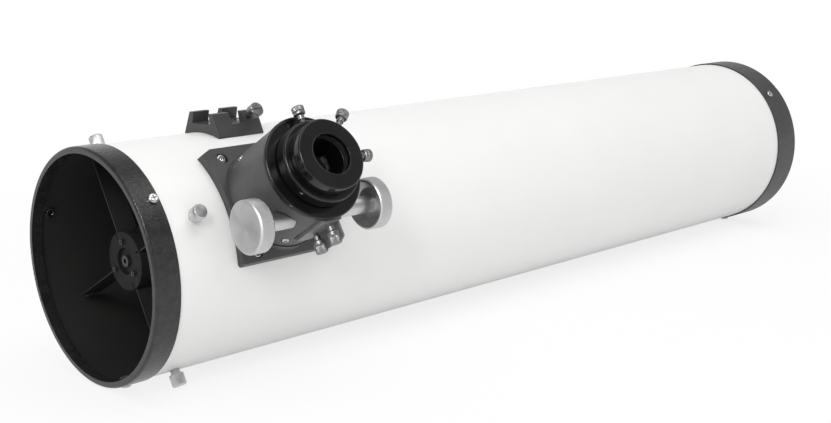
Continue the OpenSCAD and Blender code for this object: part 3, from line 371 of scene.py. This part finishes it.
body_grey = look("focuser_grey", grey(0.066, 0.01), grey(0.08, 0.012), 0.42, mottle=50,
                 grain=1900, depth=0.012, edge=(grey(0.35), 0.4), specular=0.35)
shoe_grey = look("shoe_grey", grey(0.04, 0.01), grey(0.05), 0.45, mottle=70, grain=2200,
                 depth=0.01, edge=(grey(0.35), 0.45))
block_grey = look("block_grey", grey(0.16, 0.01), grey(0.19), 0.4, mottle=80, grain=2200,
                  depth=0.01, edge=(grey(0.45), 0.5))
chrome = look("chrome_screws", grey(0.62), grey(0.5), 0.16, metal=1.0, mottle=200, grain=2600,
              depth=0.004, rough_span=0.07, edge_radius=0.15)
steel = look("steel_small", grey(0.5), grey(0.42), 0.28, metal=1.0, mottle=160, grain=2400,
             depth=0.006, edge_radius=0.15)
shoe_screw_place = own_place("finder_shoe_screw", JOINTS["finder_shoe_screw_travel"]["axis"])[0]
slotted = look("slotted_screw", grey(0.3), grey(0.25), 0.4, metal=1.0, mottle=120, grain=2600,
               depth=0.006, turned=shoe_screw_place, turned_depth=0.003,
               edge=(grey(0.6), 0.5), streak=0.4)
clip_plastic = look("clip_plastic", grey(0.02), grey(0.03), 0.5, mottle=120, grain=1800,
                    depth=0.02)
black_steel = look("black_steel", grey(0.02), grey(0.035), 0.34, mottle=200, grain=2400,
                   depth=0.006, edge=(grey(0.2), 0.4), edge_radius=0.15)
cork = look("cork", (0.32, 0.17, 0.075, 1), (0.17, 0.08, 0.035, 1), 0.85, mottle=420, grain=900,
            depth=0.2)
glass_coat = look("mirror_coating", grey(0.88), grey(0.86), 0.03, metal=1.0, mottle=12,
                  grain=300, depth=0.0002, rough_span=0.015, edge_radius=0.3)

focus_place = own_place("top_ring", JOINTS["focus_slide"]["axis"])[0]
anodised = look("anodised_black", grey(0.005), grey(0.008), 0.13, mottle=60, grain=2400,
                depth=0.001, rough_span=0.03, edge_radius=1.6, turned=focus_place,
                turned_depth=0.0012, specular=0.42, streak=0.6)
draw_silver = look("draw_silver", grey(0.55), grey(0.5), 0.3, metal=1.0, mottle=60, grain=2400,
                   depth=0.004, turned=focus_place, turned_depth=0.003, streak=0.5)
brass = look("brass_parts", (0.4, 0.26, 0.09, 1), (0.3, 0.19, 0.06, 1), 0.36, metal=1.0,
             mottle=120, grain=2400, depth=0.006, turned=focus_place, turned_depth=0.004)
silver = look("turned_silver", grey(0.66), grey(0.6), 0.42, metal=1.0, mottle=90, grain=2600,
              depth=0.006, turned_depth=0.003, edge=(grey(0.8), 0.4), streak=0.6)
satin = look("satin_silver", grey(0.29), grey(0.24), 0.42, metal=1.0, mottle=120, grain=2600,
             depth=0.006, turned_depth=0.003, edge=(grey(0.6), 0.5), streak=0.4)
vane_black = look("vane_black", grey(0.02), grey(0.028, 0.03), 0.6, mottle=25, grain=1500,
                  depth=0.02, specular=0.35)

# The tube is white outside and black inside, the vanes end in bright studs near the wall, and the
# drawtube is black inside
TUBE_WALL, STUD_LENGTH, DRAWTUBE_BORE = 1.0 * MM, 3.5 * MM, 27.5 * MM
tube_low, tube_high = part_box("tube")
wall_middle = (tube_high.z - tube_low.z) / 2 - TUBE_WALL / 2
tube_place = Matrix.Rotation(math.pi / 2, 4, "Y")
by_radius(vane_black, tube_place, wall_middle - STUD_LENGTH, grey(0.6), grey(0.5), 0.25,
          metal=True, outside=True)
by_radius(white, tube_place, wall_middle, grey(0.016), grey(0.024, 0.03), 0.6,
          metal=False, outside=False)
by_radius(draw_silver, focus_place, DRAWTUBE_BORE, grey(0.012), grey(0.018), 0.5,
          metal=False, outside=False)

dress(white, "tube")
dress(hammered, "front_ring")
dress(rear_paint, "rear_ring")
dress(flat_black, "spider_hub", "secondary_holder")
dress(vane_black, "spider_vanes")
dress(cell_paint, "cell_back", "mirror_cell")
dress(shaded_base_grey, "focuser_base")
dress(body_grey, "focuser_body")
dress(shoe_grey, "finder_shoe")
dress(block_grey, "axle_block")
dress(chrome, "ring_screws", "mounting_screws", "body_screws", "top_ring_screws",
      "collar_set_screw")
dress(steel, "tube_nuts", "roller_pins", "focus_axle", "clip_screws", "collimation_bolts")
dress(black_steel, "hub_screws", "secondary_bolt", "secondary_screws", "adapter_clamp_ring")
dress(anodised, "top_ring", "eyepiece_collar", "adapter")
dress(draw_silver, "drawtube")
dress(brass, "collar_clamp_ring", "axle_bushes")
dress(glass_coat, "primary_mirror", "secondary_mirror")
dress(cork, "mirror_pads")
dress(clip_plastic, "mirror_clips")
dress(slotted, "finder_shoe_screw")

# ---------- Outlines of the turned pieces ----------
# Each stands for a node of radius r and height full. Lengths are in millimetres, and a knurl is
# the depth of its teeth

FOCUS_RIM, FOCUS_DISH = 12.4, 6.0     # height of the focus knob's rim, and depth of its dish
FOCUS_WALL, FOCUS_FOOT = 2.8, 7.0     # how far in from its edge the dish's wall starts and ends
FOCUS_BOSS, FOCUS_BORE = 6.6, 3.5     # radii of its boss and of the axle's hole
FOCUS_KNURL = 0.32
SCREW_NECK = 2.8                      # radius of a thumbscrew under its head
SCREW_KNURLED = 0.58                  # share of its head's height that is knurled
SCREW_KNURL = 0.3
VANE_STEM, VANE_BORE = 3.7, 2.7       # radii of a vane knob's stem and of its threaded hole
VANE_END = 1.7                        # thickness left at the end of the hole
VANE_KNURL = 0.18
BOLT_BORE = 3.0                       # radius of a collimation knob's hole
BOLT_HEAD = 11.0                      # height of its head
BOLT_KNURL = 0.5
LOCK_HEAD = 8.0                       # height of a lock screw's head
LOCK_KNURL = 0.4
ROLLER_BORE = 2.25
RACE_WIDTH = 0.9                      # width of a roller's inner and outer races
RACE_STEP = 0.4                       # how far its shield lies below them


def ribbed(r, low, high, depth, pitch):
    """Rings cut in a stem, as on a thread, from low to high."""
    rows = []
    z = low
    while z + pitch <= high:
        rows += [(r, z), (r, z + pitch * 0.3), (r - depth, z + pitch * 0.65)]
        z += pitch
    return rows + [(r, high)]


def focus_knob(r, full):
    rim, dish = FOCUS_RIM, FOCUS_RIM - FOCUS_DISH
    return [(0, 0), (r - 1.5, 0, 0.3), (r - 0.15, 1.3, 0.2), (r, 1.5, 0, FOCUS_KNURL),
            (r, rim - 1.4, 0, FOCUS_KNURL), (r - 0.15, rim - 1.2, 0.2), (r - 1.1, rim, 0.3),
            (r - FOCUS_WALL, rim, 0.4), (r - FOCUS_FOOT, dish + 0.1, 1.2),
            (FOCUS_BOSS, dish, 0.8), (FOCUS_BOSS, full, 0.4), (FOCUS_BORE, full),
            (FOCUS_BORE, 3), (0, 3)]


def thumbscrew(_, full, head, tall, stem):
    """A screw whose head has a plain inner part and a knurled outer part."""
    low = full - tall
    collar = full - tall * SCREW_KNURLED
    return [(0, 0), (stem - 0.3, 0), *ribbed(stem, 0.3, low - 3.4, depth=0.25, pitch=0.7),
            (SCREW_NECK, low - 3.3), (SCREW_NECK, low), (head - 1.0, low, 0.3),
            (head - 0.15, low + 0.9, 0.3), (head - 0.15, collar - 0.5, 0.2),
            (head - 0.6, collar - 0.1, 0.1), (head, collar + 0.4, 0.1, SCREW_KNURL),
            (head, full - 0.8, 0.1, SCREW_KNURL), (head - 0.8, full, 0.3),
            (head - 2.4, full, 0.2), (head - 2.8, full - 0.35, 0.2), (0, full - 0.35)]


def vane_knob(r, full):
    hole = full - VANE_END
    return [(0, hole), (VANE_BORE, hole), (VANE_BORE, 0), (VANE_STEM, 0, 0.2),
            (VANE_STEM, 3.4, 0.3), (r - 0.5, 3.5, 0.2), (r, 4.0, 0, VANE_KNURL),
            (r, full - 0.9, 0, VANE_KNURL), (r - 0.6, full, 0.3), (0, full)]


def collimation_knob(r, full):
    stem = full - BOLT_HEAD
    return [(0, full - 2), (BOLT_BORE, full - 2), (BOLT_BORE, 0), (5, 0, 0.2), (5, stem, 0.4),
            (r - 1, stem, 0.4), (r, stem + 1, 0.1, BOLT_KNURL),
            (r, full - 1.2, 0.1, BOLT_KNURL), (r - 1.2, full, 0.4), (r - 4, full, 0.4),
            (r - 4.6, full - 0.6, 0.3), (0, full - 0.6)]


def cell_lock(r, full):
    low = full - LOCK_HEAD
    return [(0, 0), (2.3, 0), *ribbed(2.5, 0.3, low - 0.2, depth=0.3, pitch=0.8),
            (r - 0.6, low, 0.3), (r, low + 0.7, 0.1, LOCK_KNURL),
            (r, full - 1, 0.1, LOCK_KNURL), (r - 1, full, 0.3), (0, full)]


def roller(r, full):
    """A ball bearing: two races with a lower shield between them."""
    inner, outer, shield = ROLLER_BORE + RACE_WIDTH, r - RACE_WIDTH, full - RACE_STEP
    return [(ROLLER_BORE, 0.2), (inner, 0, 0.1), (inner + 0.1, RACE_STEP, 0.1),
            (outer - 0.1, RACE_STEP, 0.1), (outer, 0, 0.1), (r, 0, 0.3), (r, full, 0.3),
            (outer, full, 0.1), (outer - 0.1, shield, 0.1), (inner + 0.1, shield, 0.1),
            (inner, full, 0.1), (ROLLER_BORE, full - 0.2), (ROLLER_BORE, 0.2)]


# ---------- Knobs, screws and rollers ----------

axle_way = Vector(JOINTS["focus_axle_turn"]["axis"])
for side, outward in (("left", axle_way), ("right", -axle_way)):
    turned_piece("focus_knob_" + side, outward, "axle_set", silver, focus_knob,
                 teeth=110, lean=6.0)

# The sizes are the head's radius and height, and the stem's radius
ADAPTER_SCREW, BLOCK_SCREW = (4.8, 7.0, 2.0), (4.65, 10.2, 1.75)
for node, sizes, teeth in (("collar_screw", ADAPTER_SCREW, 26),
                           ("adapter_screw_1", ADAPTER_SCREW, 26),
                           ("adapter_screw_2", ADAPTER_SCREW, 26),
                           ("tension_screw", BLOCK_SCREW, 30), ("lock_screw", BLOCK_SCREW, 30)):
    joint = JOINTS[node + "_travel"]
    turned_piece(node, joint["axis"], joint["child"], satin, thumbscrew, sizes,
                 teeth)

for kind, count, motion, corners, teeth, slot, material in (
        ("vane_knob", 4, "turn", vane_knob, 40, "turned_silver", silver),
        ("collimation_knob", 3, "turn", collimation_knob, 44, "turned_silver", silver),
        ("cell_lock", 3, "travel", cell_lock, 34, "turned_silver", silver),
        ("roller", 4, "turn", roller, 0, "steel_small", steel)):
    for k in range(1, count + 1):
        node = f"{kind}_{k}"
        joint = JOINTS[f"{node}_{motion}"]
        turned_piece(node, joint["axis"], joint["child"], material, corners, teeth=teeth)

# ---------- Springs ----------

COIL_RADIUS, WIRE_RADIUS, COIL_TURNS = 4.6 * MM, 0.75 * MM, 5
STEPS_PER_TURN, WIRE_SIDES = 28, 8
CLOSING = 0.055          # how far the end turns are pressed down
SPRING_ROOM = 1.2 * MM   # left free for the mirror's plate, which tilts towards the coils


def spring(name, base, length):
    """Coil along +X from base, with its ends closed down."""
    along = Vector((1, 0, 0))
    climbed = 1 - 2 * WIRE_RADIUS / length
    steps = COIL_TURNS * STEPS_PER_TURN
    points, faces = [], []
    for i in range(steps + 1):
        t = i / steps
        climb = length * (t - CLOSING * math.sin(FULL_TURN * t)) * climbed + WIRE_RADIUS
        angle = FULL_TURN * COIL_TURNS * t
        out = Vector((0, math.cos(angle), math.sin(angle)))
        middle = Vector(base) + along * climb + out * COIL_RADIUS
        for k in range(WIRE_SIDES):
            a = FULL_TURN * k / WIRE_SIDES
            points.append(middle + (out * math.cos(a) + along * math.sin(a)) * WIRE_RADIUS)
    for low in range(0, steps * WIRE_SIDES, WIRE_SIDES):
        high = low + WIRE_SIDES
        for k in range(WIRE_SIDES):
            n = (k + 1) % WIRE_SIDES
            faces.append((low + k, low + n, high + n, high + k))
    faces.append(tuple(reversed(range(WIRE_SIDES))))
    faces.append(tuple(range(steps * WIRE_SIDES, (steps + 1) * WIRE_SIDES)))
    return add_piece(name, points, faces, Matrix.Identity(4))


spring_low, spring_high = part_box("collimation_springs")
spring_length = spring_high.x - spring_low.x - SPRING_ROOM
for k in range(1, 4):
    centre = own_place(f"collimation_knob_{k}", (1, 0, 0))[0].to_translation()
    base = (spring_high.x - spring_length, centre.y, centre.z)
    coil = spring(f"collimation_spring_{k}", base, spring_length)
    stands_for(coil, "collimation_springs", "tube_assembly", steel)

# ---------- Floor ----------
# Part of it is matt, to take the shadow, and part is plain white, which is all of it further out

FLOOR_HALF = 9
FLOOR_CORNERS = ((-1, -1), (1, -1), (1, 1), (-1, 1))
# Two distances from the middle, and the white part at each
SEEN_FADE = (0.4, 0.8, 0.8, 1.0)
MIRRORED_FADE = (0.3, 0.9, 0.5, 1.0)

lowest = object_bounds()[0][2]
floor_data = bpy.data.meshes.new("floor")
floor_data.from_pydata([(x * FLOOR_HALF, y * FLOOR_HALF, 0) for x, y in FLOOR_CORNERS], [],
                       [(0, 1, 2, 3)])
floor = add_object("floor", floor_data)
floor.location = (0, 0, lowest)

floor_look = bpy.data.materials.new("floor")
tree = Tree(floor_look)
away = tree.vector("LENGTH", tree.object_point())
rays = tree.add("LightPath").outputs
mirrored_ray = tree.math("MAXIMUM", rays["Is Glossy Ray"], rays["Is Transmission Ray"])
seen = tree.math("MULTIPLY", rays["Is Camera Ray"], tree.span(away, *SEEN_FADE))
mirrored = tree.math("MULTIPLY", mirrored_ray, tree.span(away, *MIRRORED_FADE))
matt = tree.add("BsdfDiffuse", {"Color": (0.9, 0.9, 0.9, 1)})
plain_white = tree.add("Emission", {"Color": WHITE_LIGHT, "Strength": 1.0})
both = tree.add("MixShader", {0: tree.math("MAXIMUM", seen, mirrored), 1: matt.outputs[0],
                              2: plain_white.outputs[0]})
tree.add("OutputMaterial", {0: both.outputs[0]})
floor_data.materials.append(floor_look)

# ---------- World ----------
# White to the camera. Glossy surfaces mirror a room that is bright behind the object and near the
# floor, and dimmer overhead and on the camera's side, where there is also a broad key light

BEHIND_OBJECT = (0.69, 0.72, 0.0)
# Two cosines or heights of a direction, and how bright the room is at each
ROOM_FADE = (-0.6, 0.7, 0.35, 1.0)
OVERHEAD_FADE = (0.2, 0.75, 1.0, 0.3)
KEY_LIGHT = (-0.66, -0.37, 0.655)
KEY_EDGE, KEY_STRENGTH = (0.97, 0.985), 9.0     # cosines where its patch starts and is full
SKY_STRENGTH = 0.72                             # what lights matt surfaces

world = bpy.data.worlds.new("studio")
bpy.context.scene.world = world
tree = Tree(world)
way = tree.add("TexCoord").outputs["Generated"]
room = tree.span(tree.vector("DOT_PRODUCT", way, BEHIND_OBJECT), *ROOM_FADE)
overhead = tree.span(tree.add("SeparateXYZ", {0: way}).outputs[2], *OVERHEAD_FADE)
key = tree.span(tree.vector("DOT_PRODUCT", way, KEY_LIGHT), *KEY_EDGE, 0.0, KEY_STRENGTH)
mirrored = tree.math("ADD", tree.math("MULTIPLY", room, overhead), key)
rays = tree.add("LightPath").outputs
lit = tree.mix_numbers(rays["Is Glossy Ray"], SKY_STRENGTH, mirrored)
clear = tree.math("MAXIMUM", rays["Is Camera Ray"], rays["Is Transmission Ray"])
strength = tree.mix_numbers(clear, lit, 1.0)
sky = tree.add("Background", {"Color": WHITE_LIGHT, "Strength": strength})
tree.add("OutputWorld", {0: sky.outputs[0]})

# ---------- Lamps and camera ----------


def softbox(name, at, aim, size, watts):
    data = bpy.data.lights.new(name, "AREA")
    data.shape = "RECTANGLE"
    data.size, data.size_y = size
    data.energy = watts
    made = add_object(name, data)
    made.location = at
    made.rotation_euler = (Vector(aim) - Vector(at)).to_track_quat("-Z", "Y").to_euler()


softbox("top_softbox", at=(-0.1, -0.5, 1.6), aim=(-0.1, 0, 0), size=(1.8, 1.0), watts=10)
softbox("front_softbox", at=(-1.3, -0.74, 0.8), aim=(-0.42, -0.08, 0.05), size=(0.14, 0.5),
        watts=4.4)

CAMERA_AT = (-0.9694, -0.8417, 0.2544)
CAMERA_WAY = (0.677, 0.702, -0.220)
CAMERA_UP = (0.152, 0.158, 0.976)

camera_data = bpy.data.cameras.new("camera")
camera_data.lens = 55.47
camera_data.sensor_width = 36.0
camera_data.clip_start = 0.01
camera = add_object("camera", camera_data)
ahead = Vector(CAMERA_WAY).normalized()
right = ahead.cross(Vector(CAMERA_UP)).normalized()
turn = Matrix((right, right.cross(ahead), -ahead)).transposed().to_4x4()
camera.matrix_world = Matrix.Translation(CAMERA_AT) @ turn
bpy.context.scene.camera = camera
bpy.context.scene.view_settings.view_transform = "Standard"
